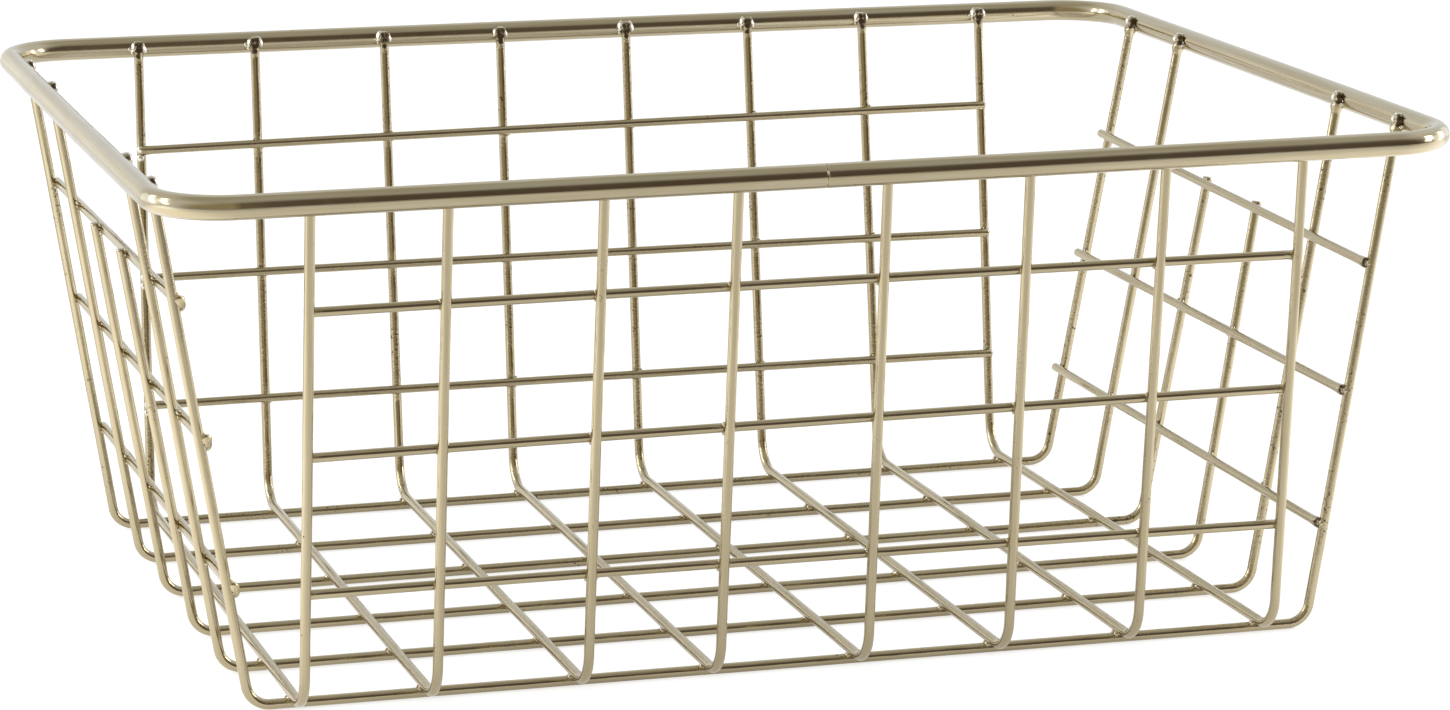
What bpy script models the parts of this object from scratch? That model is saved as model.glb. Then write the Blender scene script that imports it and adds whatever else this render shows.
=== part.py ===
"""A wire storage basket, modelled the way it is made: straight lengths of round steel wire are
cut, bent into trays and rings, laid over one another and welded at every crossing.

Lengths are in metres. +Z is up, the basket's long side runs along X and its front is at -Y.
The origin is on the ground below the middle of the basket.
"""

from math import cos, pi, sin, tan

import bpy
from mathutils import Vector

MM = 0.001

# The rim is a ring of thick wire, measured over its outside at the corners. Its sides bow out.
RIM_LENGTH = 305 * MM
RIM_WIDTH = 229 * MM
RIM_HEIGHT = 123.25 * MM
RIM_WIRE = 5.5 * MM
RIM_CORNER_RADIUS = 16.3 * MM
RIM_LONG_SIDE_BOW = 0.55 * MM
RIM_SHORT_SIDE_BOW = 0.3 * MM
RIM_FRONT_LEFT_DROP = 0.8 * MM
RIM_BACK_LEFT_RISE = 0.5 * MM

# The thin wires. The trays are the long and the cross wires; the rails tie the trays' legs.
TRAY_WIRE = 2.35 * MM
RAIL_WIRE = 2.2 * MM
WELD_GAP = 0.3 * MM

# How far each wall's foot stands in from the middle of the rim wire above it.
LEFT_FOOT_INSET = 22.2 * MM
RIGHT_FOOT_INSET = 23.2 * MM
FRONT_FOOT_INSET = 15.8 * MM
BACK_FOOT_INSET = 18.1 * MM

LONG_BEND_RADIUS = 5.4 * MM
CROSS_BEND_RADIUS = 8.5 * MM
TIP_RISE = 1.7 * MM

# How far each wall's rails run on past the middle of its outer legs: at the left and the right end
# of a long wall's rails, at the front and the back end of a side wall's.
RAIL_OVERRUNS = {
    "front": (0.5 * MM, 0.7 * MM),
    "back": (0.7 * MM, 0.6 * MM),
    "left": (0.3 * MM, 1.2 * MM),
    "right": (0.2 * MM, 2.4 * MM),
}

# Each cross wire, left to right: where it stands at the front foot, the front of the rim, the
# back foot and the back of the rim, as shares of the way from the left end to the right end.
CROSS_WIRE_SHARES = (
    (0.037, 0.107, 0.040, 0.115),
    (0.155, 0.208, 0.161, 0.216),
    (0.292, 0.324, 0.299, 0.330),
    (0.414, 0.426, 0.420, 0.434),
    (0.553, 0.541, 0.556, 0.548),
    (0.687, 0.653, 0.691, 0.660),
    (0.813, 0.762, 0.819, 0.767),
    (0.948, 0.874, 0.947, 0.878),
)

# Each long wire, back to front: where it stands at the left foot, the left of the rim, the right
# foot and the right of the rim, as shares of the way from the front to the back.
LONG_WIRE_SHARES = (
    (0.970, 0.879, 0.964, 0.868),
    (0.781, 0.724, 0.776, 0.721),
    (0.604, 0.581, 0.605, 0.569),
    (0.408, 0.427, 0.413, 0.436),
    (0.241, 0.269, 0.236, 0.277),
    (0.076, 0.135, 0.058, 0.126),
)

# The two middle long wires stop at the top side rails, which leaves a hand hole under the rim.
SHORT_LONG_WIRES = (3, 4)

# The rails of each wall, as shares of the rim's height. A long wall's rail has its left and its
# right end, a side wall's rail its front and its back end.
RAIL_HEIGHT_SHARES = {
    "front": {"top": (0.787, 0.787), "middle": (0.513, 0.520), "bottom": (0.251, 0.245)},
    "back": {"top": (0.793, 0.804), "middle": (0.523, 0.520), "bottom": (0.253, 0.250)},
    "left": {"top": (0.773, 0.760), "middle": (0.511, 0.510), "bottom": (0.230, 0.228)},
    "right": {"top": (0.725, 0.752), "middle": (0.474, 0.483), "bottom": (0.211, 0.221)},
}

# A thin wire is drawn with eight flat sides, one of them facing the ground, and the rim with twelve.
WIRE_SIDES = 8
RIM_WIRE_SIDES = 12
FLAT_SHARE = cos(pi / WIRE_SIDES)
BEND_STEPS = 7
RIM_CORNER_STEPS = 8
RIM_SIDE_STEPS = 6

# The middle of the rim wire, at the corners that its bends round off.
RIM_HALF_LENGTH = (RIM_LENGTH - RIM_WIRE) / 2
RIM_HALF_WIDTH = (RIM_WIDTH - RIM_WIRE) / 2
RIM_LEVEL = RIM_HEIGHT - RIM_WIRE / 2

# The walls' feet, measured from the middle of the basket.
LEFT_FOOT = RIM_HALF_LENGTH - LEFT_FOOT_INSET
RIGHT_FOOT = RIM_HALF_LENGTH - RIGHT_FOOT_INSET
FRONT_FOOT = RIM_HALF_WIDTH - FRONT_FOOT_INSET
BACK_FOOT = RIM_HALF_WIDTH - BACK_FOOT_INSET

# Where the floor runs lie: the long wires touch the ground and the cross wires lie on them.
LONG_WIRE_LEVEL = TRAY_WIRE / 2 * FLAT_SHARE
CROSS_WIRE_LEVEL = LONG_WIRE_LEVEL + TRAY_WIRE * FLAT_SHARE + WELD_GAP

# The legs stand inside the rim, and the rails lie against the inside of the legs.
LEG_TO_RIM = (RIM_WIRE + TRAY_WIRE) / 2 + WELD_GAP
RAIL_TO_LEG = (RAIL_WIRE + TRAY_WIRE) / 2 + WELD_GAP

PLATING_COLOUR = (0.48, 0.41, 0.27, 1.0)


def between(low, high, share):
    return low + (high - low) * share


def arch(share):
    """Rises from 0 at the ends of a side to 1 in its middle."""
    return 1 - (2 * share - 1) ** 2


def rim_level_at(x, y):
    """Height of the rim wire's middle: the left end is a little twisted."""
    leftness = (1 - x / RIM_HALF_LENGTH) / 2
    backness = (1 + y / RIM_HALF_WIDTH) / 2
    twist = backness * RIM_BACK_LEFT_RISE - (1 - backness) * RIM_FRONT_LEFT_DROP
    return RIM_LEVEL + leftness * twist


def arc(before, corner, after, radius, steps):
    """Points of the bend that rounds a corner between two straight runs."""
    towards_before = (before - corner).normalized()
    towards_after = (after - corner).normalized()
    half_angle = towards_before.angle(towards_after) / 2
    centre = corner + (towards_before + towards_after).normalized() * (radius / sin(half_angle))
    start = corner + towards_before * (radius / tan(half_angle)) - centre
    end = corner + towards_after * (radius / tan(half_angle)) - centre
    turn = start.angle(end)
    return [
        centre + (start * sin(turn * (1 - i / steps)) + end * sin(turn * i / steps)) / sin(turn)
        for i in range(steps + 1)
    ]


def plating(name, roughness):
    """Pale gold plating on steel wire."""
    material = bpy.data.materials.new(name)
    material.use_nodes = True
    shader = material.node_tree.nodes["Principled BSDF"]
    shader.inputs["Base Color"].default_value = PLATING_COLOUR
    shader.inputs["Metallic"].default_value = 1.0
    shader.inputs["Roughness"].default_value = roughness
    return material


def add_wire(name, points, thickness, sides, tilt, roughness):
    """One length of round wire along its points."""
    curve = bpy.data.curves.new(name, "CURVE")
    curve.dimensions = "3D"
    curve.twist_mode = "Z_UP"
    curve.bevel_depth = thickness / 2
    curve.bevel_resolution = sides // 2 - 2
    curve.use_fill_caps = True
    spline = curve.splines.new("POLY")
    spline.points.add(len(points) - 1)
    for point, place in zip(spline.points, points):
        point.co = (*place, 1.0)
        point.tilt = tilt
    spline.use_smooth = True
    curve.materials.append(plating(f"{name}_plating", roughness))
    wire = bpy.data.objects.new(name, curve)
    basket_collection.objects.link(wire)
    wire.parent = basket
    return wire


def add_thin_wire(name, points, thickness):
    return add_wire(name, points, thickness, WIRE_SIDES, pi / WIRE_SIDES, roughness=0.15)


def make_rim():
    """The ring: four bowed sides joined by round corners."""
    corners = [
        Vector((side_x * RIM_HALF_LENGTH, side_y * RIM_HALF_WIDTH, 0))
        for side_x, side_y in ((-1, -1), (1, -1), (1, 1), (-1, 1))
    ]
    bends = [
        arc(corners[i - 1], corners[i], corners[(i + 1) % 4], RIM_CORNER_RADIUS, RIM_CORNER_STEPS)
        for i in range(4)
    ]
    bows = (
        Vector((0, -RIM_LONG_SIDE_BOW, 0)),
        Vector((RIM_SHORT_SIDE_BOW, 0, 0)),
        Vector((0, RIM_LONG_SIDE_BOW, 0)),
        Vector((-RIM_SHORT_SIDE_BOW, 0, 0)),
    )
    points = []
    for i, bow in enumerate(bows):
        points += bends[i]
        start = bends[i][-1]
        end = bends[(i + 1) % 4][0]
        for step in range(1, RIM_SIDE_STEPS):
            share = step / RIM_SIDE_STEPS
            points.append(start.lerp(end, share) + bow * arch(share))
    for point in points:
        point.z = rim_level_at(point.x, point.y)
    rim = add_wire("rim", points, RIM_WIRE, RIM_WIRE_SIDES, tilt=0, roughness=0.2)
    rim.data.splines[0].use_cyclic_u = True


class Leg:
    """The straight upright of a tray wire, from the corner at its foot to the rim."""

    def __init__(self, foot, top, outward):
        self.foot = foot
        self.top = top
        slope = (top - foot).dot(outward) / (top.z - foot.z)
        self.inward = (Vector((0, 0, slope)) - outward).normalized()

    def at_height(self, height):
        return self.foot.lerp(self.top, (height - self.foot.z) / (self.top.z - self.foot.z))


def end_leg(side, foot_share, top_share):
    """A long wire's leg in the left (-1) or right (+1) wall."""
    inset = LEFT_FOOT_INSET if side < 0 else RIGHT_FOOT_INSET
    foot_y = between(-FRONT_FOOT, BACK_FOOT, foot_share)
    top_y = between(-RIM_HALF_WIDTH, RIM_HALF_WIDTH, top_share)
    bow = RIM_SHORT_SIDE_BOW * arch(top_share)
    foot = Vector((side * (RIM_HALF_LENGTH - inset), foot_y, LONG_WIRE_LEVEL))
    top_x = side * (RIM_HALF_LENGTH + bow - LEG_TO_RIM)
    top = Vector((top_x, top_y, rim_level_at(top_x, top_y)))
    return Leg(foot, top, Vector((side, 0, 0)))


def face_leg(side, foot_share, top_share):
    """A cross wire's leg in the front (-1) or back (+1) wall."""
    foot_x = between(-LEFT_FOOT, RIGHT_FOOT, foot_share)
    top_x = between(-RIM_HALF_LENGTH, RIM_HALF_LENGTH, top_share)
    bow = RIM_LONG_SIDE_BOW * arch(top_share)
    foot = Vector((foot_x, -FRONT_FOOT if side < 0 else BACK_FOOT, CROSS_WIRE_LEVEL))
    top_y = side * (RIM_HALF_WIDTH + bow - LEG_TO_RIM)
    top = Vector((top_x, top_y, rim_level_at(top_x, top_y)))
    return Leg(foot, top, Vector((0, side, 0)))


def make_tray_wire(name, first, second, first_top, second_top, bend_radius):
    """A wire bent up at both ends, from one leg's tip down, across the floor and up again."""
    start = first.at_height(first_top)
    end = second.at_height(second_top)
    points = [start]
    points += arc(start, first.foot, second.foot, bend_radius, BEND_STEPS)
    points += arc(first.foot, second.foot, end, bend_radius, BEND_STEPS)
    points.append(end)
    add_thin_wire(name, points, TRAY_WIRE)


def rail_height(wall, level, leg):
    """Height of the middle of a wall's rail where it passes a leg."""
    legs = wall_legs[wall]
    first, last = RAIL_HEIGHT_SHARES[wall][level]
    share = (leg.foot - legs[0].foot).length / (legs[-1].foot - legs[0].foot).length
    return RIM_LEVEL * between(first, last, share)


def make_rail(wall, level):
    """A straight wire across the inside of a wall, from its first leg to its last."""
    ends = []
    for leg in (wall_legs[wall][0], wall_legs[wall][-1]):
        step_in = leg.inward * RAIL_TO_LEG
        ends.append(leg.at_height(rail_height(wall, level, leg) - step_in.z) + step_in)
    along = (ends[1] - ends[0]).normalized()
    before, beyond = RAIL_OVERRUNS[wall]
    points = [ends[0] - along * before, ends[1] + along * beyond]
    add_thin_wire(f"{wall}_rail_{level}", points, RAIL_WIRE)


for leftover in list(bpy.data.objects):
    bpy.data.objects.remove(leftover)

basket_collection = bpy.data.collections.new("wire_basket")
bpy.context.scene.collection.children.link(basket_collection)
basket = bpy.data.objects.new("basket_origin", None)
basket_collection.objects.link(basket)

wall_legs = {
    "left": [end_leg(-1, foot, top) for foot, top, _, _ in reversed(LONG_WIRE_SHARES)],
    "right": [end_leg(1, foot, top) for _, _, foot, top in reversed(LONG_WIRE_SHARES)],
    "front": [face_leg(-1, foot, top) for foot, top, _, _ in CROSS_WIRE_SHARES],
    "back": [face_leg(1, foot, top) for _, _, foot, top in CROSS_WIRE_SHARES],
}

make_rim()

for number, (left, right) in enumerate(zip(wall_legs["left"][::-1], wall_legs["right"][::-1]), 1):
    if number in SHORT_LONG_WIRES:
        left_tip = rail_height("left", "top", left) + RAIL_WIRE / 2
        right_tip = rail_height("right", "top", right) + RAIL_WIRE / 2
    else:
        left_tip = left.top.z + TIP_RISE
        right_tip = right.top.z + TIP_RISE
    make_tray_wire(f"long_wire_{number}", left, right, left_tip, right_tip, LONG_BEND_RADIUS)

for number, (front, back) in enumerate(zip(wall_legs["front"], wall_legs["back"]), 1):
    front_tip = front.top.z + TIP_RISE
    back_tip = back.top.z + TIP_RISE
    make_tray_wire(f"cross_wire_{number}", front, back, front_tip, back_tip, CROSS_BEND_RADIUS)

for wall_name, wall_levels in RAIL_HEIGHT_SHARES.items():
    for level_name in wall_levels:
        make_rail(wall_name, level_name)
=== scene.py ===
"""The looks of a wire storage basket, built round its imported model.

The basket is pale gold plated steel wire. The sections follow it as it is put together: the
long and the cross wires of the tray, the rails, the rim, and the welds that hold them.
"""

from math import pi, radians, sin, tan

import bmesh
import bpy
from mathutils import Matrix, Vector, noise
from mathutils.kdtree import KDTree


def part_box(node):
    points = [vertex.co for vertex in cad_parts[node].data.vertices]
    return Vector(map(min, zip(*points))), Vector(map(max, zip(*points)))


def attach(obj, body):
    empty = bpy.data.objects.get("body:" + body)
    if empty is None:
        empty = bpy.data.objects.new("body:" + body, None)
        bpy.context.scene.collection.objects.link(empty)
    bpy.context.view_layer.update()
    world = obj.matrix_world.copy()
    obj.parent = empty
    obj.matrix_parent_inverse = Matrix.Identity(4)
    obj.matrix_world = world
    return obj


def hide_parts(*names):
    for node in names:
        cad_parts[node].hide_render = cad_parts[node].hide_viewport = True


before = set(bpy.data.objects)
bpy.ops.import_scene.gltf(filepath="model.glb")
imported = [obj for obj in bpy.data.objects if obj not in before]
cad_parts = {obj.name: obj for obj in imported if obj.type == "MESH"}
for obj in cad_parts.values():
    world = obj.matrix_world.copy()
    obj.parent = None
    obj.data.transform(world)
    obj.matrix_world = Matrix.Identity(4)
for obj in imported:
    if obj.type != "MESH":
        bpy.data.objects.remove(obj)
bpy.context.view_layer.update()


# Long wires
# Six lengths of thin steel wire run from end to end on the ground. Both ends of each are bent
# up into legs that lean outwards. The tips are pressed flat where the rim is welded to them.

MM = 0.001
THIN_WIRE = 2.35 * MM
RIM_WIRE = 5.5 * MM
RIM_LONG_SIDE_BOW = 0.55 * MM
RIM_SHORT_SIDE_BOW = 0.3 * MM
RIM_FRONT_LEFT_DROP = 0.8 * MM
RIM_BACK_LEFT_RISE = 0.5 * MM

LEFT_FOOT_INSET = 22.2 * MM
RIGHT_FOOT_INSET = 23.2 * MM
FRONT_FOOT_INSET = 15.8 * MM
BACK_FOOT_INSET = 18.1 * MM
LONG_BEND_RADIUS = 5.4 * MM
SIDE_TIP_SINK = 1.0 * MM
TIP_RISE = 1.7 * MM

WIRE_FACETS = 18
BEND_STEPS = 12
STRAIGHT_STEP = 4 * MM
TIP_STEP = 0.5 * MM
TIP_ZONE = 7 * MM
HAND_WAVE = 0.09 * MM
HAND_WAVE_LENGTH = 38 * MM
WAVE_SEED = 12

# Each long wire, back to front: where it stands at the left foot, the left of the rim, the right
# foot and the right of the rim, as shares of the way from the front to the back.
LONG_WIRE_SHARES = (
    (0.970, 0.879, 0.964, 0.868),
    (0.781, 0.724, 0.776, 0.721),
    (0.604, 0.581, 0.605, 0.569),
    (0.408, 0.427, 0.413, 0.436),
    (0.241, 0.269, 0.236, 0.277),
    (0.076, 0.135, 0.058, 0.126),
)
SHORT_LONG_WIRES = (3, 4)

rim_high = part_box("rim")[1]
rim_half_length = rim_high.x - RIM_WIRE / 2 - RIM_SHORT_SIDE_BOW
rim_half_width = rim_high.y - RIM_WIRE / 2 - RIM_LONG_SIDE_BOW
rim_level = rim_high.z - RIM_WIRE / 2 - RIM_BACK_LEFT_RISE
left_foot = rim_half_length - LEFT_FOOT_INSET
right_foot = rim_half_length - RIGHT_FOOT_INSET
front_foot = rim_half_width - FRONT_FOOT_INSET
back_foot = rim_half_width - BACK_FOOT_INSET


def between(low, high, share):
    return low + (high - low) * share


def ease(share):
    """0 up to 0, 1 from 1 on, and a soft step between."""
    share = min(max(share, 0), 1)
    return share * share * (3 - 2 * share)


def arch(share):
    return 1 - (2 * share - 1) ** 2


def rim_level_at(x, y):
    leftness = (1 - x / rim_half_length) / 2
    backness = (1 + y / rim_half_width) / 2
    twist = backness * RIM_BACK_LEFT_RISE - (1 - backness) * RIM_FRONT_LEFT_DROP
    return rim_level + leftness * twist


class Leg:
    """The straight upright of a tray wire, from the corner at its foot to the rim."""

    def __init__(self, foot, top, outward):
        self.foot = foot
        self.top = top
        self.upward = (top - foot).normalized()
        slope = (top - foot).dot(outward) / (top.z - foot.z)
        self.inward = (Vector((0, 0, slope)) - outward).normalized()
        self.sideways = self.inward.cross(self.upward)

    def at_height(self, height):
        return self.foot.lerp(self.top, (height - self.foot.z) / (self.top.z - self.foot.z))


def end_leg(side, foot_share, top_share):
    """A long wire's leg in the left (-1) or right (+1) wall."""
    foot_x = -left_foot if side < 0 else right_foot
    foot = Vector((foot_x, between(-front_foot, back_foot, foot_share), THIN_WIRE / 2))
    reach = (RIM_WIRE + THIN_WIRE) / 2 - SIDE_TIP_SINK
    top_x = side * (rim_half_length + RIM_SHORT_SIDE_BOW * arch(top_share) - reach)
    top_y = between(-rim_half_width, rim_half_width, top_share)
    return Leg(foot, Vector((top_x, top_y, rim_level_at(top_x, top_y))), Vector((side, 0, 0)))


def arc(before, corner, after, radius, steps):
    """Points of the bend that rounds a corner between two straight runs."""
    towards_before = (before - corner).normalized()
    towards_after = (after - corner).normalized()
    half_angle = towards_before.angle(towards_after) / 2
    centre = corner + (towards_before + towards_after).normalized() * (radius / sin(half_angle))
    start = corner + towards_before * (radius / tan(half_angle)) - centre
    end = corner + towards_after * (radius / tan(half_angle)) - centre
    turn = start.angle(end)
    return [
        centre + (start * sin(turn * (1 - i / steps)) + end * sin(turn * i / steps)) / sin(turn)
        for i in range(steps + 1)
    ]


def straight(start, end, step=STRAIGHT_STEP):
    """Points from start to just before end."""
    count = max(1, round((end - start).length / step))
    return [start.lerp(end, i / count) for i in range(count)]


def down_leg(tip, knee):
    """Points from a tip to its bend, close together where the tip is pressed."""
    shoulder = tip + (knee - tip).normalized() * TIP_ZONE
    return straight(tip, shoulder, TIP_STEP) + straight(shoulder, knee)


def tray_line(first_tip, first, second, second_tip, radius):
    """The middle of a wire that goes down one leg, across the floor and up the other."""
    bend_in = arc(first_tip, first.foot, second.foot, radius, BEND_STEPS)
    bend_out = arc(first.foot, second.foot, second_tip, radius, BEND_STEPS)
    points = down_leg(first_tip, bend_in[0]) + bend_in[:-1] + straight(bend_in[-1], bend_out[0])
    up_leg = [*down_leg(second_tip, bend_out[-1]), bend_out[-1]][::-1]
    return points + bend_out[:-1] + up_leg


# The wave's places come from this seed. Without it they would differ from run to run.
noise.seed_set(WAVE_SEED)


def hand_wave(points, amount=HAND_WAVE):
    """Wire straightened from a coil keeps a faint wave. It never dips under the ground."""
    waved = []
    for point in points:
        push = noise.noise_vector(point / HAND_WAVE_LENGTH) * amount
        push.z = abs(push.z)
        waved.append(point + push)
    return waved


def draw_wire(points, thickness, facets=WIRE_FACETS):
    """A wire: a disc is pulled from point to point, turning with the way it goes.

    The drawn layer holds each vertex where it would be if the wire were straight.
    """
    bm = bmesh.new()
    drawn = bm.verts.layers.float_vector.new("drawn")
    heading = (points[1] - points[0]).normalized()
    place = Matrix.Translation(points[0]) @ heading.to_track_quat("Z", "Y").to_matrix().to_4x4()
    disc = bmesh.ops.create_circle(
        bm, cap_ends=True, segments=facets, radius=thickness / 2, matrix=place
    )
    back = place.inverted()
    for vertex in disc["verts"]:
        vertex[drawn] = back @ vertex.co
    face = disc["verts"][0].link_faces[0]
    walked = 0
    for i in range(1, len(points)):
        ahead = points[min(i + 1, len(points) - 1)] - points[i - 1]
        ahead.normalize()
        pulled = bmesh.ops.extrude_face_region(bm, geom=[face])["geom"]
        rim_verts = [part for part in pulled if isinstance(part, bmesh.types.BMVert)]
        if i > 1:
            bm.faces.remove(face)
        face = next(part for part in pulled if isinstance(part, bmesh.types.BMFace))
        turn = heading.rotation_difference(ahead).to_matrix().to_4x4()
        move = Matrix.Translation(points[i]) @ turn @ Matrix.Translation(-points[i - 1])
        bmesh.ops.transform(bm, matrix=move, verts=rim_verts)
        walked += (points[i] - points[i - 1]).length
        for vertex in rim_verts:
            vertex[drawn] = Vector((vertex[drawn].x, vertex[drawn].y, walked))
        heading = ahead
    bmesh.ops.recalc_face_normals(bm, faces=bm.faces)
    return bm


PAD_LENGTH = 2.2 * MM
PAD_RUN_OUT = 0.9 * MM
PAD_THICKNESS = 0.9
NUGGET_PLACE = 3.6 * MM
NUGGET_LENGTH = 1.3 * MM
NUGGET_BUMPS = 0.25 * MM
END_TIP_SPREAD = 0.3
END_TIP_SWELL = 0.3
TIP_RAGGEDNESS = 0.35 * MM
RAG_SIZE = THIN_WIRE / 1.7
FACE_TIP_SPREAD = 0.05


def press_tip(bm, leg, tip, spread=FACE_TIP_SPREAD, nugget_swell=0.0):
    """The welding jaw presses a tip square, the wire swells below it, and the cut stays ragged."""
    for vertex in bm.verts:
        offset = vertex.co - tip
        if offset.length > TIP_ZONE:
            continue
        below = -offset.dot(leg.upward)
        inwards = offset.dot(leg.inward)
        across = offset.dot(leg.sideways)
        pressed = ease((PAD_LENGTH + PAD_RUN_OUT - below) / PAD_RUN_OUT)
        reach = max((inwards**2 + across**2) ** 0.5, 1e-9)
        squareness = ((inwards / reach) ** 4 + (across / reach) ** 4) ** -0.25
        swell = nugget_swell * ease(1 - abs(below - NUGGET_PLACE) / NUGGET_LENGTH)
        lumps = noise.noise(vertex.co / MM) * NUGGET_BUMPS * ease((NUGGET_PLACE + MM - below) / MM)
        grown = between(1, squareness, pressed) * (1 + swell) + lumps / reach
        vertex.co += leg.inward * inwards * (grown * between(1, PAD_THICKNESS, pressed) - 1)
        vertex.co += leg.sideways * across * (grown * (1 + spread * pressed) - 1)
        ragged = noise.noise(vertex.co / RAG_SIZE) * TIP_RAGGEDNESS
        vertex.co += leg.upward * ragged * ease(1 - below / MM)


def feed(tree, socket, value):
    """Gives a node's input a value or another node's output."""
    if isinstance(value, bpy.types.NodeSocket):
        tree.links.new(value, socket)
    else:
        socket.default_value = value


def add_noise(tree, name, place, scale, detail=3.0, roughness=0.55):
    node = tree.nodes.new("ShaderNodeTexNoise")
    node.name = node.label = name
    feed(tree, node.inputs["Vector"], place)
    feed(tree, node.inputs["Scale"], scale)
    node.inputs["Detail"].default_value = detail
    node.inputs["Roughness"].default_value = roughness
    return node.outputs["Fac"]


def add_ramp(tree, name, value, low, high, ends=(0.0, 1.0)):
    """Turns low into the first end and high, which may be the smaller, into the second."""
    node = tree.nodes.new("ShaderNodeMapRange")
    node.name = node.label = name
    node.interpolation_type = "SMOOTHSTEP"
    for label, part in zip(
        ("Value", "From Min", "From Max", "To Min", "To Max"), (value, low, high, *ends)
    ):
        feed(tree, node.inputs[label], part)
    return node.outputs["Result"]


def combine(tree, operation, *values):
    """Joins values, each a number or another node's output."""
    joined = values[0]
    for value in values[1:]:
        node = tree.nodes.new("ShaderNodeMath")
        node.operation = operation
        feed(tree, node.inputs[0], joined)
        feed(tree, node.inputs[1], value)
        joined = node.outputs["Value"]
    return joined


def mix_colours(tree, first, second, share):
    """Mixes two colours, each a value or another node's output."""
    mix = tree.nodes.new("ShaderNodeMix")
    mix.data_type = "RGBA"
    for label, part in (("A", first), ("B", second), ("Factor", share)):
        feed(tree, mix.inputs[label], part)
    return mix.outputs["Result"]


def add_relief(tree, height, strength, depth, under=None):
    """A bump that follows a height, laid over the bump under it."""
    bump = tree.nodes.new("ShaderNodeBump")
    bump.inputs["Strength"].default_value = strength
    bump.inputs["Distance"].default_value = depth
    feed(tree, bump.inputs["Height"], height)
    if under is not None:
        feed(tree, bump.inputs["Normal"], under)
    return bump.outputs["Normal"]


def new_effect(name, place, strength, outputs):
    """A shader node group with a named position and strength coming in and masks going out."""
    group = bpy.data.node_groups.new(name, "ShaderNodeTree")
    group.interface.new_socket(place, in_out="INPUT", socket_type="NodeSocketVector")
    group.interface.new_socket(strength, in_out="INPUT", socket_type="NodeSocketFloat")
    for label in outputs:
        group.interface.new_socket(label, in_out="OUTPUT", socket_type="NodeSocketFloat")
    given = group.nodes.new("NodeGroupInput").outputs
    result = group.nodes.new("NodeGroupOutput").inputs
    return group, given[place], given[strength], result


LINE_STRETCH = (1, 1, 0.03)
PATCH_SCALE = 90
FAR_SIDE_ROUGHNESS = 0.14
BLOTCH_SCALE = 1100
SCALING_HEAT = 0.62


def make_drawing_lines():
    """Fine lines that the drawing die leaves along a wire, closed all round it."""
    group, place, fineness, result = new_effect(
        "drawing_lines", "Drawn Position", "Fineness", ["Lines"]
    )
    stretch = group.nodes.new("ShaderNodeMapping")
    stretch.inputs["Scale"].default_value = LINE_STRETCH
    group.links.new(place, stretch.inputs["Vector"])
    streaks = add_noise(group, "streaks", stretch.outputs["Vector"], fineness)
    group.links.new(add_ramp(group, "spread", streaks, 0.35, 0.65), result["Lines"])
    return group


def make_plating_grain():
    """Tiny nodules and pits of the plating, in patches, and more of them at the back and right."""
    group, place, scale, result = new_effect(
        "plating_grain", "Position", "Grain Scale", ["Grain", "Patches", "Specks"]
    )
    grain = add_noise(group, "grain", place, scale, detail=2)
    rougher = add_noise(group, "patches", place, PATCH_SCALE, detail=2)
    sides = group.nodes.new("ShaderNodeSeparateXYZ")
    group.links.new(place, sides.inputs["Vector"])
    for axis, near, far in (("X", 0.10, 0.14), ("Y", 0.06, 0.10)):
        ends = (0, FAR_SIDE_ROUGHNESS)
        that_side = add_ramp(group, f"far along {axis}", sides.outputs[axis], near, far, ends)
        rougher = combine(group, "ADD", that_side, rougher)
    roughest = add_ramp(group, "roughest parts", rougher, 0.62, 0.74)
    hollows = add_ramp(group, "deep hollows", grain, 0.60, 0.66)
    group.links.new(grain, result["Grain"])
    group.links.new(add_ramp(group, "patch edge", rougher, 0.48, 0.66), result["Patches"])
    group.links.new(combine(group, "MULTIPLY", roughest, hollows), result["Specks"])
    return group


def make_weld_scale():
    """Dark pitted scale that the heat of a weld leaves round it."""
    group, place, heat, result = new_effect("weld_scale", "Position", "Heat", ["Scale", "Pits"])
    blotches = add_noise(group, "blotches", place, BLOTCH_SCALE, detail=4, roughness=0.7)
    heated = combine(group, "ADD", combine(group, "SUBTRACT", heat, SCALING_HEAT), blotches)
    group.links.new(add_ramp(group, "scale edge", heated, 0.45, 0.75), result["Scale"])
    group.links.new(combine(group, "MULTIPLY", blotches, heat), result["Pits"])
    return group


def make_pinholes():
    """A pinhole here and there, where the plating did not take."""
    group, place, spread, result = new_effect("pinholes", "Position", "Spread", ["Pinholes"])
    seeds = group.nodes.new("ShaderNodeTexVoronoi")
    seeds.name = seeds.label = "seeds"
    group.links.new(place, seeds.inputs["Vector"])
    group.links.new(spread, seeds.inputs["Scale"])
    edge = add_ramp(group, "pinhole edge", seeds.outputs["Distance"], 0.012, 0.04, (1, 0))
    group.links.new(edge, result["Pinholes"])
    return group


drawing_lines = make_drawing_lines()
pinholes = make_pinholes()
plating_grain = make_plating_grain()
weld_scale = make_weld_scale()

PALE_GOLD = (0.48, 0.41, 0.27, 1)
DULL_GOLD = (0.44, 0.37, 0.235, 1)
RIM_GOLD = (0.49, 0.43, 0.30, 1)
WELD_BROWN = (0.075, 0.052, 0.03, 1)
LINE_FINENESS = 1500
GRAIN_SCALE = 1500
PINHOLE_SPREAD = 140
PATCH_DULLING = 1.9
SCALE_DULLNESS = 0.3
LINE_DEPTH = 0.02 * MM
GRAIN_DEPTH = 0.05 * MM
PIT_DEPTH = 0.3 * MM


def add_effect(tree, group, place, strength):
    """Places a node group in a material and gives it its position and strength."""
    node = tree.nodes.new("ShaderNodeGroup")
    node.node_tree = group
    node.name = node.label = group.name
    feed(tree, node.inputs[0], place)
    feed(tree, node.inputs[1], strength)
    return node.outputs


def read_attribute(tree, name, output):
    node = tree.nodes.new("ShaderNodeAttribute")
    node.attribute_name = name
    return node.outputs[output]


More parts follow.
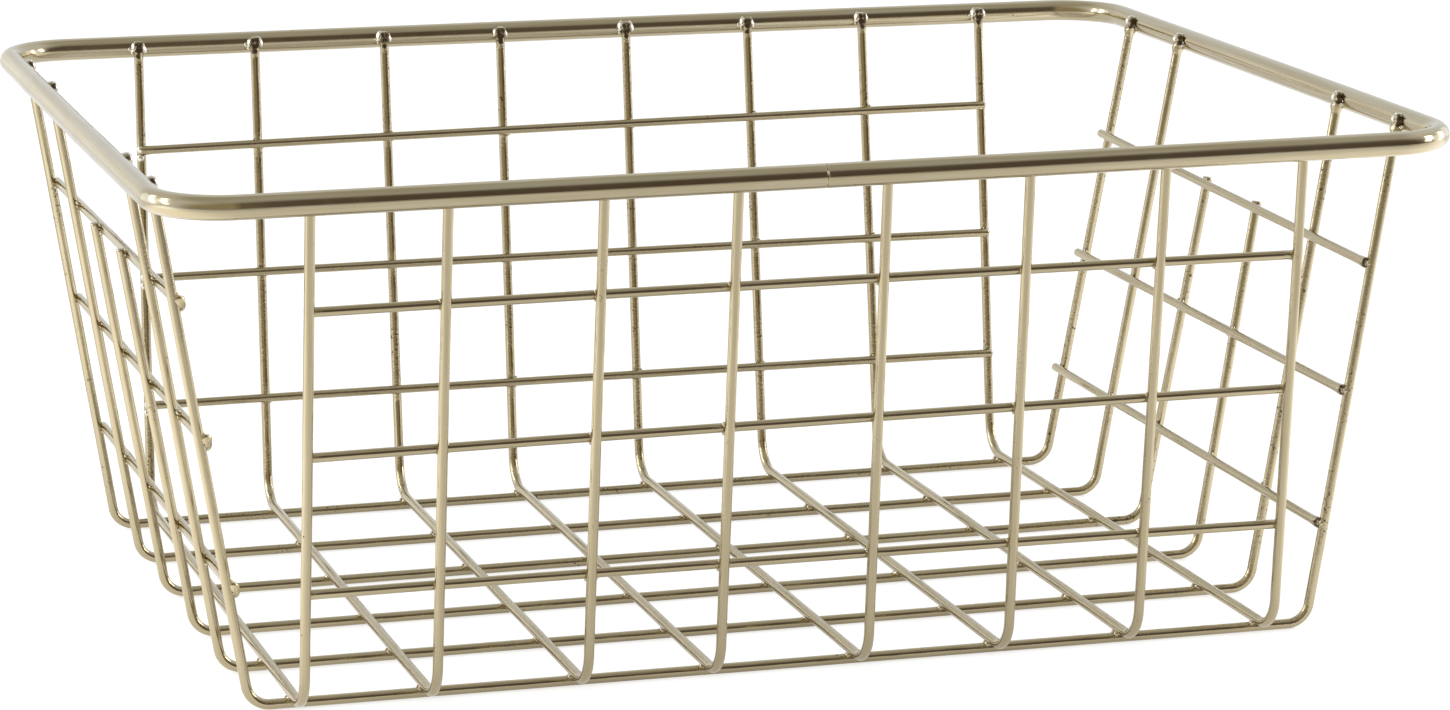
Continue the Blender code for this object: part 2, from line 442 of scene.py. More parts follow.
def plated_steel(
    name, roughness, lines, grain, fineness=LINE_FINENESS, gold=PALE_GOLD, speckled=False
):
    """Pale gold plating on drawn steel: lines along the wire, grain in patches, scale at welds.

    Only the tray's wires are speckled, where their plating is roughest.
    """
    material = bpy.data.materials.new(name)
    material.use_nodes = True
    tree = material.node_tree
    shader = tree.nodes["Principled BSDF"].inputs
    shader["Metallic"].default_value = 1.0
    place = tree.nodes.new("ShaderNodeTexCoord").outputs["Object"]

    drawn = read_attribute(tree, "drawn", "Vector")
    heat = read_attribute(tree, "weld_heat", "Fac")
    line_marks = add_effect(tree, drawing_lines, drawn, fineness)["Lines"]
    grains = add_effect(tree, plating_grain, place, GRAIN_SCALE)
    scale = add_effect(tree, weld_scale, place, heat)
    marks = [scale["Scale"], add_effect(tree, pinholes, place, PINHOLE_SPREAD)["Pinholes"]]
    if speckled:
        marks.append(grains["Specks"])

    tone = mix_colours(tree, gold, DULL_GOLD, line_marks)
    dark = combine(tree, "MAXIMUM", *marks)
    tree.links.new(mix_colours(tree, tone, WELD_BROWN, dark), shader["Base Color"])

    patch_ends = (roughness, roughness * PATCH_DULLING)
    dullness = add_ramp(tree, "dullness", grains["Patches"], 0, 1, patch_ends)
    scale_dullness = combine(tree, "MULTIPLY", scale["Scale"], SCALE_DULLNESS)
    tree.links.new(combine(tree, "ADD", dullness, scale_dullness), shader["Roughness"])

    height = combine(tree, "MULTIPLY", grains["Grain"], grains["Patches"])
    relief = add_relief(tree, line_marks, lines, LINE_DEPTH)
    relief = add_relief(tree, height, grain, GRAIN_DEPTH, relief)
    relief = add_relief(tree, scale["Pits"], 1.0, PIT_DEPTH, relief)
    tree.links.new(relief, shader["Normal"])
    return material


tray_plating = plated_steel(
    "tray_wire_plating", roughness=0.09, lines=0.45, grain=0.8, speckled=True
)
wire_pieces = []


def finish_piece(name, bm, material, slot, *nodes_replaced):
    """Makes the mesh a smooth piece of the basket. One that replaces a node is a wire."""
    for face in bm.faces:
        face.smooth = True
    mesh = bpy.data.meshes.new(name)
    bm.to_mesh(mesh)
    bm.free()
    mesh.materials.append(material)
    piece = bpy.data.objects.new(name, mesh)
    bpy.context.scene.collection.objects.link(piece)
    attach(piece, "root")
    if nodes_replaced:
        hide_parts(*nodes_replaced)
        wire_pieces.append(piece)


# Rail heights as shares of the rim's. The short long wires end at the top side rails.
RAIL_WIRE = 2.2 * MM
RAIL_HEIGHT_SHARES = {
    "front": {"top": (0.787, 0.787), "middle": (0.513, 0.520), "bottom": (0.251, 0.245)},
    "back": {"top": (0.793, 0.804), "middle": (0.523, 0.520), "bottom": (0.253, 0.250)},
    "left": {"top": (0.773, 0.760), "middle": (0.511, 0.510), "bottom": (0.230, 0.228)},
    "right": {"top": (0.725, 0.752), "middle": (0.474, 0.483), "bottom": (0.211, 0.221)},
}

wall_legs = {
    "left": [end_leg(-1, foot, top) for foot, top, _, _ in reversed(LONG_WIRE_SHARES)],
    "right": [end_leg(1, foot, top) for _, _, foot, top in reversed(LONG_WIRE_SHARES)],
}


def rail_height(wall, level, leg):
    """Height of the middle of a wall's rail where it passes a leg."""
    legs = wall_legs[wall]
    first, last = RAIL_HEIGHT_SHARES[wall][level]
    share = (leg.foot - legs[0].foot).length / (legs[-1].foot - legs[0].foot).length
    return rim_level * between(first, last, share)


def tip_of(wall, leg, is_short):
    if is_short:
        return leg.at_height(rail_height(wall, "top", leg) + RAIL_WIRE / 2)
    return leg.at_height(leg.top.z + TIP_RISE)


for number, (left, right) in enumerate(zip(wall_legs["left"][::-1], wall_legs["right"][::-1]), 1):
    is_short = number in SHORT_LONG_WIRES
    left_tip = tip_of("left", left, is_short)
    right_tip = tip_of("right", right, is_short)
    line = tray_line(left_tip, left, right, right_tip, LONG_BEND_RADIUS)
    wire = draw_wire(hand_wave(line), THIN_WIRE)
    if not is_short:
        press_tip(wire, left, left_tip, END_TIP_SPREAD, END_TIP_SWELL)
        press_tip(wire, right, right_tip, END_TIP_SPREAD, END_TIP_SWELL)
    node = f"long_wire_{number}"
    finish_piece(f"{node}_plated", wire, tray_plating, "tray_wire", node)


# Cross wires
# Eight wires of the same stock run from front to back on top of the long wires, bent up in the
# same way with a slacker bend, and welded to each long wire that they cross.

CROSS_BEND_RADIUS = 8.5 * MM
FACE_TIP_SINK = 0.5 * MM
FLOOR_WELD_SINK = 0.1 * MM
CROSS_WIRE_SHARES = (
    (0.037, 0.107, 0.040, 0.115),
    (0.155, 0.208, 0.161, 0.216),
    (0.292, 0.324, 0.299, 0.330),
    (0.414, 0.426, 0.420, 0.434),
    (0.553, 0.541, 0.556, 0.548),
    (0.687, 0.653, 0.691, 0.660),
    (0.813, 0.762, 0.819, 0.767),
    (0.948, 0.874, 0.947, 0.878),
)
cross_wire_level = THIN_WIRE * 1.5 - FLOOR_WELD_SINK


def face_leg(side, foot_share, top_share):
    """A cross wire's leg in the front (-1) or back (+1) wall."""
    foot_y = -front_foot if side < 0 else back_foot
    foot = Vector((between(-left_foot, right_foot, foot_share), foot_y, cross_wire_level))
    reach = (RIM_WIRE + THIN_WIRE) / 2 - FACE_TIP_SINK
    top_y = side * (rim_half_width + RIM_LONG_SIDE_BOW * arch(top_share) - reach)
    top_x = between(-rim_half_length, rim_half_length, top_share)
    return Leg(foot, Vector((top_x, top_y, rim_level_at(top_x, top_y))), Vector((0, side, 0)))


wall_legs["front"] = [face_leg(-1, foot, top) for foot, top, _, _ in CROSS_WIRE_SHARES]
wall_legs["back"] = [face_leg(1, foot, top) for _, _, foot, top in CROSS_WIRE_SHARES]

for number, (front, back) in enumerate(zip(wall_legs["front"], wall_legs["back"]), 1):
    front_tip = tip_of("front", front, False)
    back_tip = tip_of("back", back, False)
    line = tray_line(front_tip, front, back, back_tip, CROSS_BEND_RADIUS)
    wire = draw_wire(hand_wave(line), THIN_WIRE)
    press_tip(wire, front, front_tip)
    press_tip(wire, back, back_tip)
    node = f"cross_wire_{number}"
    finish_piece(f"{node}_plated", wire, tray_plating, "tray_wire", node)


# Rails
# Three straight wires a little thinner than the tray's lie against the inside of the legs of
# each wall. They are pressed into the legs as they are welded, and their cut ends are rounded.

RAIL_WELD_SINK = 0.675 * MM
RAIL_OVERRUNS = {
    "front": (0.5 * MM, 0.7 * MM),
    "back": (0.7 * MM, 0.6 * MM),
    "left": (0.3 * MM, 1.2 * MM),
    "right": (0.2 * MM, 2.4 * MM),
}
CUT_SLANTS = {"front": 0.1, "back": 0.15, "left": 0.42, "right": 0.0}
CUT_FLARES = {"front": 0.05, "back": 0.1, "left": 0.42, "right": 0.22}
END_ROUNDING = 0.5 * MM
END_ROUND_STEPS = 5
FLARE_LENGTH = 2.0 * MM
RAIL_DROOPS = {"front": 0.4 * MM, "back": 0.38 * MM, "left": 0, "right": 0}
DROOP_SHARPNESS = 1.5
RAIL_WAVE = HAND_WAVE / 3
rail_to_leg = (RAIL_WIRE + THIN_WIRE) / 2 - RAIL_WELD_SINK

rail_plating = plated_steel("rail_plating", roughness=0.09, lines=0.35, grain=0.6)


def rail_point(wall, level, leg):
    step_in = leg.inward * rail_to_leg
    return leg.at_height(rail_height(wall, level, leg) - step_in.z) + step_in


def droop(points, depth):
    """The welds pull the ends of a rail down a little."""
    drooped = []
    for i, point in enumerate(points):
        near_end = 1 - arch(i / (len(points) - 1))
        drooped.append(point - Vector((0, 0, depth * near_end**DROOP_SHARPNESS)))
    return drooped


def shape_ends(bm, start, end, slant, flare):
    """Rounds both cut ends. The shears slant the first one and spread it up and down."""
    along = (end - start).normalized()
    for vertex in bm.verts:
        inside = (vertex.co - start).dot(along)
        if inside < FLARE_LENGTH:
            spread = flare * ease(1 - inside / FLARE_LENGTH)
            vertex.co.z += (vertex.co - start - along * inside).z * spread
        for tip, outward in ((start, -along), (end, along)):
            beyond = (vertex.co - tip).dot(outward) + END_ROUNDING
            if beyond > 0:
                axis = tip + outward * (vertex.co - tip).dot(outward)
                share = min(beyond / END_ROUNDING, 1)
                draw_in = END_ROUNDING * (1 - (1 - share**2) ** 0.5)
                vertex.co -= (vertex.co - axis).normalized() * draw_in
                if tip is start:
                    vertex.co += outward * slant * (vertex.co - axis).z * share


def rail_line(start, end):
    along = (end - start).normalized()
    near, far = start + along * END_ROUNDING, end - along * END_ROUNDING
    fine = END_ROUNDING / END_ROUND_STEPS
    return straight(start, near, fine) + straight(near, far) + straight(far, end, fine) + [end]


for wall, levels in RAIL_HEIGHT_SHARES.items():
    for level in levels:
        first = rail_point(wall, level, wall_legs[wall][0])
        last = rail_point(wall, level, wall_legs[wall][-1])
        along = (last - first).normalized()
        before, beyond = RAIL_OVERRUNS[wall]
        line = rail_line(first - along * before, last + along * beyond)
        line = hand_wave(droop(line, RAIL_DROOPS[wall]), RAIL_WAVE)
        rail = draw_wire(line, RAIL_WIRE)
        shape_ends(rail, line[0], line[-1], CUT_SLANTS[wall], CUT_FLARES[wall])
        node = f"{wall}_rail_{level}"
        finish_piece(f"{node}_plated", rail, rail_plating, "rail_wire", node)


# Rim
# A ring of thick wire bent round four corners, with its ends butted together and welded in the
# middle of the front. The tips of the legs are welded to its inside.

RIM_CORNER_RADIUS = 16.3 * MM
RIM_FACETS = 36
RIM_CORNER_STEPS = 18
RIM_STEP = 5 * MM
SEAM_X = -3.65 * MM
SEAM_GROOVE = 0.2 * MM
SEAM_WIDTH = 0.22 * MM
SEAM_SLIP = 0.03 * MM
SEAM_STEPS = (0.03, 0.3, 0.6, 1, 2, 4)

rim_plating = plated_steel(
    "rim_plating", roughness=0.09, lines=0.15, grain=0.15, fineness=900, gold=RIM_GOLD
)


def rim_run(start, end, bow):
    """One bowed side of the rim."""
    points = straight(start, end, RIM_STEP)
    return [point + bow * arch(i / len(points)) for i, point in enumerate(points)]


corners = [
    Vector((side_x * rim_half_length, side_y * rim_half_width, 0))
    for side_x, side_y in ((-1, -1), (1, -1), (1, 1), (-1, 1))
]
bends = [
    arc(corners[i - 1], corners[i], corners[(i + 1) % 4], RIM_CORNER_RADIUS, RIM_CORNER_STEPS)
    for i in range(4)
]
bows = (
    Vector((0, -RIM_LONG_SIDE_BOW, 0)),
    Vector((RIM_SHORT_SIDE_BOW, 0, 0)),
    Vector((0, RIM_LONG_SIDE_BOW, 0)),
    Vector((-RIM_SHORT_SIDE_BOW, 0, 0)),
)
ring = []
for i, bow in enumerate(bows):
    ring += bends[i][:-1] + rim_run(bends[i][-1], bends[(i + 1) % 4][0], bow)
for point in ring:
    point.z = rim_level_at(point.x, point.y)

seam_share = (1 + SEAM_X / rim_half_length) / 2
seam_y = -rim_half_width - RIM_LONG_SIDE_BOW * arch(seam_share)
seam = Vector((SEAM_X, seam_y, rim_level_at(SEAM_X, seam_y)))
clear_of_seam = 4 * SEAM_WIDTH
is_front = [point.y < -rim_half_width + RIM_CORNER_RADIUS / 2 for point in ring]
after = [i for i, point in enumerate(ring) if is_front[i] and point.x > SEAM_X + clear_of_seam]
start = min(after, key=lambda i: ring[i].x)
ring = ring[start:] + ring[:start]
while ring[-1].x > SEAM_X - clear_of_seam:
    ring.pop()
seam_side = Vector((SEAM_WIDTH, 0, 0))
slip = Vector((0, 0, SEAM_SLIP))
opening = [seam + seam_side * share + slip * (1 - share / 4) for share in SEAM_STEPS]
closing = [seam - seam_side * share for share in reversed(SEAM_STEPS)]
rim = draw_wire(opening + ring + closing, RIM_WIRE, RIM_FACETS)
for vertex in rim.verts:
    from_seam = abs(vertex.co.x - seam.x) / SEAM_WIDTH
    if vertex.co.y < 0 and from_seam < 1:
        middle = Vector((vertex.co.x, seam.y, seam.z))
        uneven = 1 + noise.noise(vertex.co / MM * 2) / 2
        vertex.co -= (vertex.co - middle).normalized() * SEAM_GROOVE * (1 - from_seam) * uneven
finish_piece("rim_plated", rim, rim_plating, "rim_wire", "rim")


# Welds
# Every crossing is spot welded. A little metal melts out and freezes as a collar between the
# wires, with droplets beside it, and the heat leaves the wires next to it dark and rough.

BEAD_FINENESS = 2
BEAD_LUMPINESS = 0.22
COLLAR = 1.15 * MM
COLLAR_DEPTH = 0.75 * MM
COLLAR_RANGE = (0.9, 1.15)
END_COLLAR_SHARE = 0.8
DROPLET = 0.52 * MM
DROPLET_RANGE = (0.7, 1.3)
DROPLET_PLACE = COLLAR * 0.85
DROPLET_CHANCE = 0.5
CROSSING_HEAT_REACH = 1.7 * MM
CROSSING_HEAT_RANGE = (0.6, 1.1)
CUT_HEAT_REACHES = {"front": 2 * MM, "back": 2.4 * MM, "left": 0.5 * MM, "right": 3.1 * MM}

WELD_GOLD = (0.64, 0.59, 0.47, 1)
FIN_GOLD = (0.84, 0.72, 0.46, 1)
weld_plating = plated_steel("weld_plating", roughness=0.07, lines=0.0, grain=0.4, gold=WELD_GOLD)
fin_plating = plated_steel("fin_plating", roughness=0.2, lines=0.0, grain=0.8, gold=FIN_GOLD)
weld_points = []


def chance(place, salt):
    """A number from 0 to 1 that belongs to a place. The salt tells a place's draws apart."""
    return noise.cell(place / MM * 3.7 + Vector((salt, salt, salt))) * 0.5 + 0.5


def vary(size, limits, place, salt):
    """A size times a number between two limits, drawn for a place."""
    return size * between(*limits, chance(place, salt))


def step_from(place, leg, inwards=0.0, aside=0.0, low=0.0):
    """A place moved into the basket, along the wall and down the leg, in millimetres."""
    return place + (leg.inward * inwards + leg.sideways * aside - leg.upward * low) * MM


def add_bead(bm, centre, normal, sideways, sizes):
    """A lump of frozen metal. The sizes go sideways, across that and along the normal."""
    bead = bmesh.ops.create_icosphere(bm, subdivisions=BEAD_FINENESS, radius=1)
    third = normal.cross(sideways).normalized()
    axes = Matrix((sideways * sizes[0], third * sizes[1], normal * sizes[2])).transposed()
    for vertex in bead["verts"]:
        lump = 1 + BEAD_LUMPINESS * noise.noise(vertex.co * 1.3 + centre / MM)
        vertex.co = centre + axes @ (vertex.co * lump)


def add_drop(bm, centre, normal, sideways, size):
    add_bead(bm, centre, normal, sideways, (size, size, size))


def weld_crossing(bm, centre, normal, sideways, bare_side=0):
    """A collar between two wires, and droplets that squeezed out of some of its corners.

    At the end of a wire the bare side, -1 or 1 along sideways, has no droplets.
    """
    sideways = (sideways - normal * sideways.dot(normal)).normalized()
    third = normal.cross(sideways)
    size = vary(COLLAR, COLLAR_RANGE, centre, 3) * (END_COLLAR_SHARE if bare_side else 1)
    add_bead(bm, centre, normal, sideways, (size, size, COLLAR_DEPTH))
    for salt, (side_a, side_b) in enumerate(((-1, -1), (-1, 1), (1, -1), (1, 1))):
        if side_a != bare_side and chance(centre, salt + 7) < DROPLET_CHANCE:
            place = centre + (sideways * side_a + third * side_b) * DROPLET_PLACE
            add_drop(bm, place, normal, sideways, vary(DROPLET, DROPLET_RANGE, centre, salt + 11))
    weld_points.append((centre, vary(CROSSING_HEAT_REACH, CROSSING_HEAT_RANGE, centre, 13)))


floor_welds = bmesh.new()
for left, right in zip(wall_legs["left"], wall_legs["right"]):
    for front, back in zip(wall_legs["front"], wall_legs["back"]):
        run_long = right.foot - left.foot
        run_cross = back.foot - front.foot
        gap = front.foot - left.foot
        share = (gap.x * run_cross.y - gap.y * run_cross.x) / (
            run_long.x * run_cross.y - run_long.y * run_cross.x
        )
        centre = left.foot + run_long * share
        centre.z = THIN_WIRE - FLOOR_WELD_SINK / 2
        weld_crossing(floor_welds, centre, Vector((0, 0, 1)), run_long.normalized())
finish_piece("floor_welds", floor_welds, weld_plating, "tray_wire")

# At the front ends of the left rails a fin of melted metal stands out of the weld. Each lump of it:
# how far up the leg and outwards it stands, how far it leans, and its sizes, in millimetres.
LEFT_END_FINS = (
    (0.75, 0.5, 0.0, (1.6, 2.0, 0.7)),
    (2.7, 0.8, 0.4, (0.75, 1.6, 0.5)),
)
FIN_DROOP = 0.35
FIN_TURN = 0.3

# The bright nuggets at the left ends of the back rails: how far down the leg and along the wall,
# and the size, in millimetres.
BACK_END_MELTS = ((0.0, -0.4, 1.1), (2.1, -0.2, 0.95))

tip_welds = bmesh.new()
end_fins = bmesh.new()
for wall, levels in RAIL_HEIGHT_SHARES.items():
    welds = bmesh.new()
    for level in levels:
        first = rail_point(wall, level, wall_legs[wall][0])
        last = rail_point(wall, level, wall_legs[wall][-1])
        run = last - first
        for number, leg in enumerate(wall_legs[wall]):
            share = (leg.at_height(first.z) - first).dot(run) / run.length_squared
            centre = first.lerp(last, share) - leg.inward * rail_to_leg / 2
            bare_side = -1 if number == 0 else 1 if leg is wall_legs[wall][-1] else 0
            weld_crossing(welds, centre, leg.inward, run.normalized(), bare_side)
        cut = first - run.normalized() * RAIL_OVERRUNS[wall][0]
        weld_points.append((cut, CUT_HEAT_REACHES[wall]))
        leg = wall_legs[wall][0]
        if wall == "left":
            facing = leg.sideways - leg.upward * FIN_DROOP - leg.inward * FIN_TURN
            facing.normalize()
            for rise, outwards, lean, sizes in LEFT_END_FINS:
                place = step_from(cut, leg, inwards=-outwards, low=-rise)
                across = (leg.inward + leg.upward * lean).normalized()
                add_bead(end_fins, place, facing, across, [size * MM for size in sizes])
        if wall == "back":
            for low, aside, size in BACK_END_MELTS:
                place = step_from(cut, leg, aside=aside, low=low)
                add_drop(tip_welds, place, leg.inward, leg.sideways, size * MM)
    finish_piece(f"{wall}_rail_welds", welds, weld_plating, "rail_wire")
finish_piece("left_rail_end_fins", end_fins, fin_plating, "rail_wire")


# Welds of the tips
# The rim is welded on last, with the most heat. Each pressed tip keeps a bright crown and ears of
# melted metal, a few droplets and spatter, and a scorched leg below.

HEAT_REACH = 2.2 * MM
CROWN = (1.25 * MM, 0.5 * MM, 0.85 * MM)
EAR = (1.15 * MM, 1.45 * MM, 0.45 * MM)
EAR_RANGE = (0.8, 1.15)
EAR_PLACE = 1.5 * MM
EAR_PLACE_RANGE = (0.85, 1.05)
EAR_DROP = 1.1 * MM
EAR_DROP_RANGE = (0.8, 1.3)
EAR_TURNS = {-1: 1.0, 1: 1.6}
EAR_TILT = 0.6
SIDE_CROWN = (0.95 * MM, 0.45 * MM, 1.25 * MM)
SIDE_EAR = (0.85 * MM, 1.25 * MM, 0.45 * MM)
SIDE_EAR_PLACE = 1.1
SIDE_EAR_TURN = 0.6
SIDE_EAR_TILT = 0.3
SIDE_DROP_RANGE = (0.8, 1.1)
SPATTER = 0.5 * MM
SPATTER_RANGE = (0.6, 1.2)
SPATTER_DEPTH = 0.5
NO_SPATTER_CHANCE = 0.3
SCORCH_DEPTH = THIN_WIRE / 2 / MM

# All in millimetres. The droplets of a side tip: outwards, towards the front, down, and the share
# of a droplet's size. Spatter: down and along the wall. The middles of the scorched parts: down
# and along the wall, or down and inwards where the wall is a side.
SIDE_DROPLETS = ((1.5, 1.2, 1.9, 1.0), (0.2, 1.35, 2.9, 0.8))
SPATTER_PLACES = ((1.8, 2.2), (2.6, 1.5))
SCORCHES = ((0.9, 0.7), (0.9, -0.7), (2.2, 0.5), (2.2, -0.5), (3.6, 0.2))
SIDE_SCORCHES = ((0.8, 0.6), (0.8, -0.6), (2.2, 0.6), (2.2, -0.6))
SIDE_SCORCH_PLACE = 1.4

SILVERY = (0.93, 0.91, 0.85, 1)
melt_plating = plated_steel("melt_plating", roughness=0.07, lines=0.0, grain=0.3, gold=SILVERY)

for wall, legs in wall_legs.items():
    is_end_wall = wall in ("left", "right")
    near = -1 if wall == "right" else 1
    for number, leg in enumerate(legs, 1):
        if is_end_wall and number in SHORT_LONG_WIRES:
            continue
        tip = tip_of(wall, leg, False)
        if is_end_wall:
            add_bead(tip_welds, tip, leg.inward, leg.sideways, SIDE_CROWN)
            facing = leg.inward + leg.sideways * near * SIDE_EAR_TURN + leg.upward * SIDE_EAR_TILT
            facing.normalize()
            place = step_from(tip, leg, inwards=SIDE_EAR_PLACE, low=SIDE_EAR_PLACE)
            add_bead(tip_welds, place, facing, leg.upward.cross(facing), SIDE_EAR)
            for outwards, nearer, low, size in SIDE_DROPLETS:
                place = step_from(tip, leg, -outwards, near * nearer, low)
                drop = vary(DROPLET * size, SIDE_DROP_RANGE, tip, low * 50)
                add_drop(tip_welds, place, leg.inward, leg.sideways, drop)
            for low, inwards in SIDE_SCORCHES:
                place = step_from(tip, leg, inwards, near * SIDE_SCORCH_PLACE, low)
                weld_points.append((place, HEAT_REACH))
        else:
            for side, turn_out in EAR_TURNS.items():
                spread = vary(EAR_PLACE, EAR_PLACE_RANGE, tip, side + 30)
                drop = vary(EAR_DROP, EAR_DROP_RANGE, tip, side + 40)
                place = tip + leg.sideways * side * spread - leg.upward * drop
                sizes = [vary(size, EAR_RANGE, tip, side + 20) for size in EAR]
                turned = leg.inward + leg.sideways * side * turn_out + leg.upward * EAR_TILT
                turned.normalize()
                add_bead(tip_welds, place, turned, leg.upward.cross(turned), sizes)
            place = tip - leg.upward * CROWN[1] / 2
            add_bead(tip_welds, place, leg.inward, leg.sideways, CROWN)
            for low, aside in SCORCHES:
                place = step_from(tip, leg, SCORCH_DEPTH, aside, low)
                weld_points.append((place, HEAT_REACH))
        for low, aside in SPATTER_PLACES:
            if chance(tip, low * 20) > NO_SPATTER_CHANCE:
                place = step_from(tip, leg, -SPATTER_DEPTH, near * aside, low)
                size = vary(SPATTER, SPATTER_RANGE, tip, low * 30)
                add_drop(tip_welds, place, leg.inward, leg.sideways, size)
finish_piece("tip_welds", tip_welds, melt_plating, "tray_wire")

SEAM_SPOT = (0.3 * MM, 0.35 * MM, 0.25 * MM)
SEAM_SPOT_PLACE = Vector((0, -2.4, 1.1)) * MM
seam_weld = bmesh.new()
add_bead(seam_weld, seam + SEAM_SPOT_PLACE, Vector((0, -1, 0)), Vector((1, 0, 0)), SEAM_SPOT)
finish_piece("rim_seam_weld", seam_weld, melt_plating, "rim_wire")

# The thin wires carry how close each of their points is to a weld, for the dark scale there.
heat_source = KDTree(len(weld_points))
for index, (point, _) in enumerate(weld_points):
    heat_source.insert(point, index)
heat_source.balance()
for piece in [wire for wire in wire_pieces if wire.name != "rim_plated"]:
    heat = piece.data.attributes.new("weld_heat", "FLOAT", "POINT")
    for vertex, reading in zip(piece.data.vertices, heat.data):
        _, index, distance = heat_source.find(vertex.co)
        reading.value = ease(1 - distance / weld_points[index][1])


# Table and light
# A white table with a softbox on either side, each with two small hot spots, a pale far wall, a
# dim ceiling and a dark room behind the camera.

TABLE_SIZE = 3.0
TABLE_GREY = (0.45, 0.45, 0.45, 1)
TABLE_IN_VIEW = 0.72
TABLE_END_LEVEL = 0.25
TABLE_LEVEL = 0.60
LIT_LEFT = 0.88
LIT_RIGHT = 0.72
LIT_FAR_AWAY = 0.05
BASKET_SHADE = 0.28
bpy.ops.mesh.primitive_plane_add(size=TABLE_SIZE)
table = bpy.context.object
table.name = "white_table"

table_paint = bpy.data.materials.new("white_table_paint")
table_paint.use_nodes = True
tree = table_paint.node_tree
tree.nodes.remove(tree.nodes["Principled BSDF"])
matt = tree.nodes.new("ShaderNodeBsdfDiffuse")
matt.inputs["Color"].default_value = TABLE_GREY
glow = tree.nodes.new("ShaderNodeEmission")
both = tree.nodes.new("ShaderNodeAddShader")
rays = tree.nodes.new("ShaderNodeLightPath").outputs
place = tree.nodes.new("ShaderNodeTexCoord")
axes = tree.nodes.new("ShaderNodeSeparateXYZ")
tree.links.new(place.outputs["Object"], axes.inputs["Vector"])
x, y = axes.outputs["X"], axes.outputs["Y"]
x_size = combine(tree, "ABSOLUTE", x, 0)
y_size = combine(tree, "ABSOLUTE", y, 0)
# Only the metal sees this glow of the table, and its pattern is painted light: brighter beside the
# basket, more on the left than the right, a little brighter far beyond it, dimmer towards the
# camera end.
table_end = add_ramp(tree, "table end", y, -0.62, -0.48, (TABLE_END_LEVEL, 1))
off_centre = add_ramp(tree, "off centre", x_size, 0.03, 0.27)
past_front = add_ramp(tree, "past the front", y, -0.34, -0.06)
before_back = add_ramp(tree, "before the back", y, 0.22, 0.02)
lit = add_ramp(tree, "left side", x, 0.05, -0.05, (LIT_RIGHT, LIT_LEFT))
beside = combine(tree, "MULTIPLY", off_centre, past_front, before_back, lit)
far_away = add_ramp(tree, "far away", y, 0.45, 0.85, (0, LIT_FAR_AWAY))
level = combine(tree, "ADD", TABLE_LEVEL, beside, far_away)
# Painted shadow of the basket on the table, seen only in the metal.
inside_x = add_ramp(tree, "under it along x", x_size, 0.16, 0.10)
inside_y = add_ramp(tree, "under it along y", y_size, 0.14, 0.08)
shade = combine(tree, "SUBTRACT", 1, combine(tree, "MULTIPLY", inside_x, inside_y, BASKET_SHADE))
in_metal = combine(tree, "MULTIPLY", table_end, level, shade, rays["Is Glossy Ray"])
in_view = combine(tree, "MULTIPLY", TABLE_IN_VIEW, rays["Is Camera Ray"])
tree.links.new(combine(tree, "ADD", in_metal, in_view), glow.inputs["Strength"])
tree.links.new(matt.outputs["BSDF"], both.inputs[0])
tree.links.new(glow.outputs["Emission"], both.inputs[1])
tree.links.new(both.outputs["Shader"], tree.nodes["Material Output"].inputs["Surface"])
table.data.materials.append(table_paint)

DARK_ROOM = (0.145, 0.115, 0.095, 1)
WARM_ROOM = (0.45, 0.38, 0.25, 1)
FAR_WALL = (0.90, 0.93, 0.96, 1)
WALL_FOOT = (1.2, 1.19, 1.14, 1)
CEILING = (0.60, 0.60, 0.56, 1)
WHITE = (1, 1, 1, 1)

world = bpy.data.worlds.new("studio")
world.use_nodes = True
bpy.context.scene.world = world
tree = world.node_tree
direction = tree.nodes.new("ShaderNodeTexCoord")
axes = tree.nodes.new("ShaderNodeSeparateXYZ")
tree.links.new(direction.outputs["Generated"], axes.inputs["Vector"])
x, y, z = axes.outputs
right_of_camera = add_ramp(tree, "right of the camera", x, -0.05, 0.22)
room = mix_colours(tree, WARM_ROOM, DARK_ROOM, right_of_camera)
room = mix_colours(tree, room, CEILING, add_ramp(tree, "ceiling of the room", z, 0.62, 1.0))
straight_on = add_ramp(tree, "straight ahead", y, 0.75, 0.92)
low_down = add_ramp(tree, "low on the wall", z, 0.34, 0.06)
left_part = add_ramp(tree, "left part", x, 0.15, -0.2)
foot = combine(tree, "MULTIPLY", straight_on, low_down, left_part)
wall = mix_colours(tree, FAR_WALL, WALL_FOOT, foot)
wall = mix_colours(tree, wall, CEILING, add_ramp(tree, "ceiling by the far wall", z, 0.75, 0.92))
low_room = mix_colours(tree, room, wall, add_ramp(tree, "far wall, low down", y, -0.66, -0.05))
high_room = mix_colours(tree, room, wall, add_ramp(tree, "far wall, high up", y, -0.85, -0.05))
around = mix_colours(tree, low_room, high_room, add_ramp(tree, "high up", z, 0.3, 0.6))
rays = tree.nodes.new("ShaderNodeLightPath").outputs
backdrop = mix_colours(tree, around, WHITE, rays["Is Camera Ray"])
tree.links.new(backdrop, tree.nodes["Background"].inputs["Color"])

LIGHTS_AIM = Vector((0, 0, 0.06))


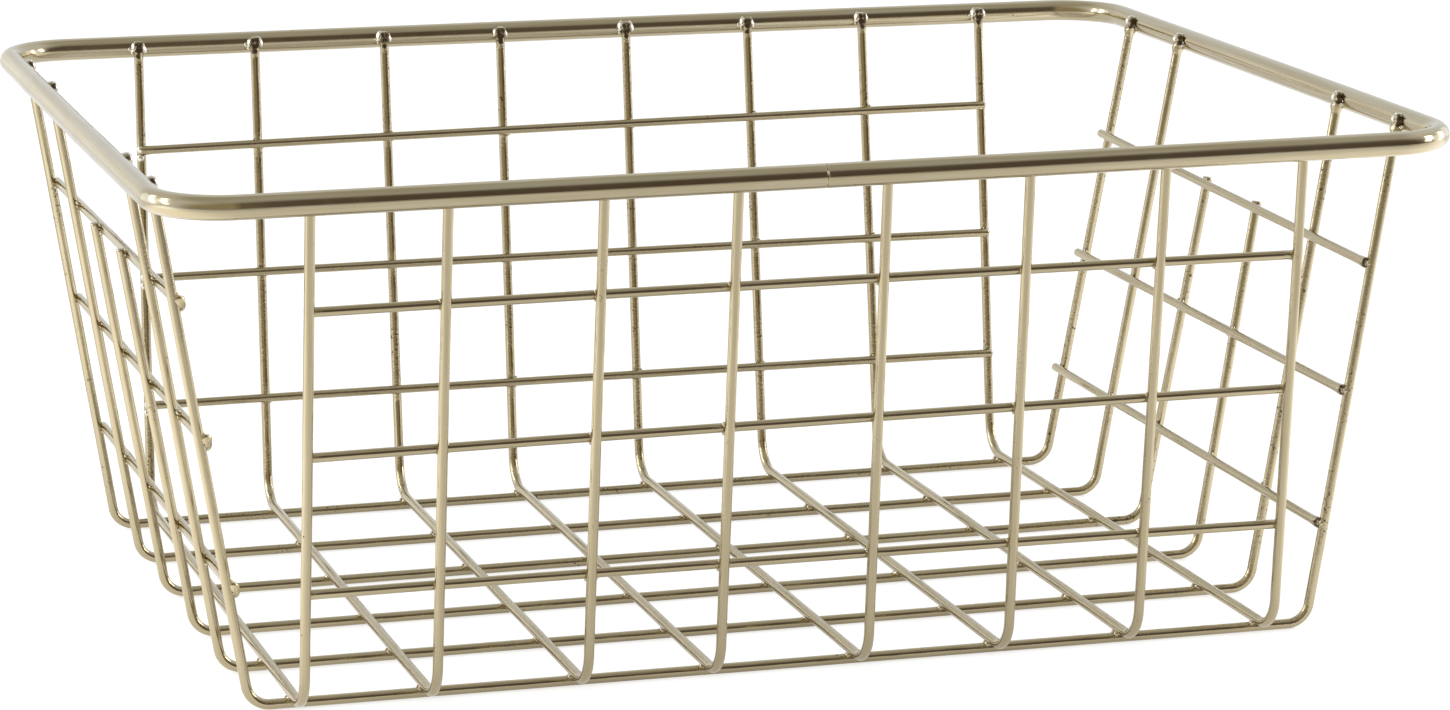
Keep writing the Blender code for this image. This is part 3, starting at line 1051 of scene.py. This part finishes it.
def add_light(name, place, width, height, radiance, tint=(1, 1, 1), lean=0.0):
    """A flat light that faces the basket, its top leaning sideways."""
    light = bpy.data.lights.new(name, "AREA")
    light.shape = "RECTANGLE"
    light.size = width
    light.size_y = height
    light.energy = radiance * pi * width * height
    light.color = tint
    lamp = bpy.data.objects.new(name, light)
    lamp.location = place
    facing = (LIGHTS_AIM - Vector(place)).to_track_quat("-Z", "Y").to_matrix()
    lamp.rotation_euler = (facing @ Matrix.Rotation(lean, 3, "Z")).to_euler()
    bpy.context.scene.collection.objects.link(lamp)


COOL = (0.92, 1.0, 1.18)
STRIP_RADIANCE = 6
add_light("left_softbox", (-0.95, 0.6, 0.32), 0.85, 0.62, 0.7, tint=COOL)
add_light("right_softbox", (1.2, 0.3, 0.30), 1.2, 0.56, 0.6, tint=COOL)
for name, place, width, length, lean in (
    ("left_far_strip", (-0.898, 0.484, 0.42), 0.13, 0.65, 28),
    ("left_near_strip", (-1.034, 0.112, 0.55), 0.13, 0.68, 28),
    ("right_far_strip", (1.262, 0.219, 0.35), 0.13, 0.75, -28),
    ("right_near_strip", (1.16, -0.336, 0.50), 0.24, 0.66, -28),
):
    add_light(name, place, width, length, STRIP_RADIANCE, lean=radians(lean))


# Camera
# Long lens, from the front and to the left, a little above the rim.

CAMERA_PLACE = Vector((-325.1, -1075.9, 300.8)) * MM
CAMERA_RIGHT = Vector((0.95535, -0.29548, 0.00261))
CAMERA_DOWN = Vector((-0.06038, -0.20385, -0.97714))
CAMERA_AHEAD = Vector((0.28926, 0.93335, -0.21259))
FOCAL_PIXELS = 4710.1
FRAME_PIXELS = 1450

camera_data = bpy.data.cameras.new("camera")
camera_data.lens = camera_data.sensor_width * FOCAL_PIXELS / FRAME_PIXELS
camera = bpy.data.objects.new("camera", camera_data)
turn = Matrix((CAMERA_RIGHT, -CAMERA_DOWN, -CAMERA_AHEAD)).transposed().to_4x4()
camera.matrix_world = Matrix.Translation(CAMERA_PLACE) @ turn
bpy.context.scene.collection.objects.link(camera)
bpy.context.scene.camera = camera
bpy.context.scene.view_settings.view_transform = "Standard"
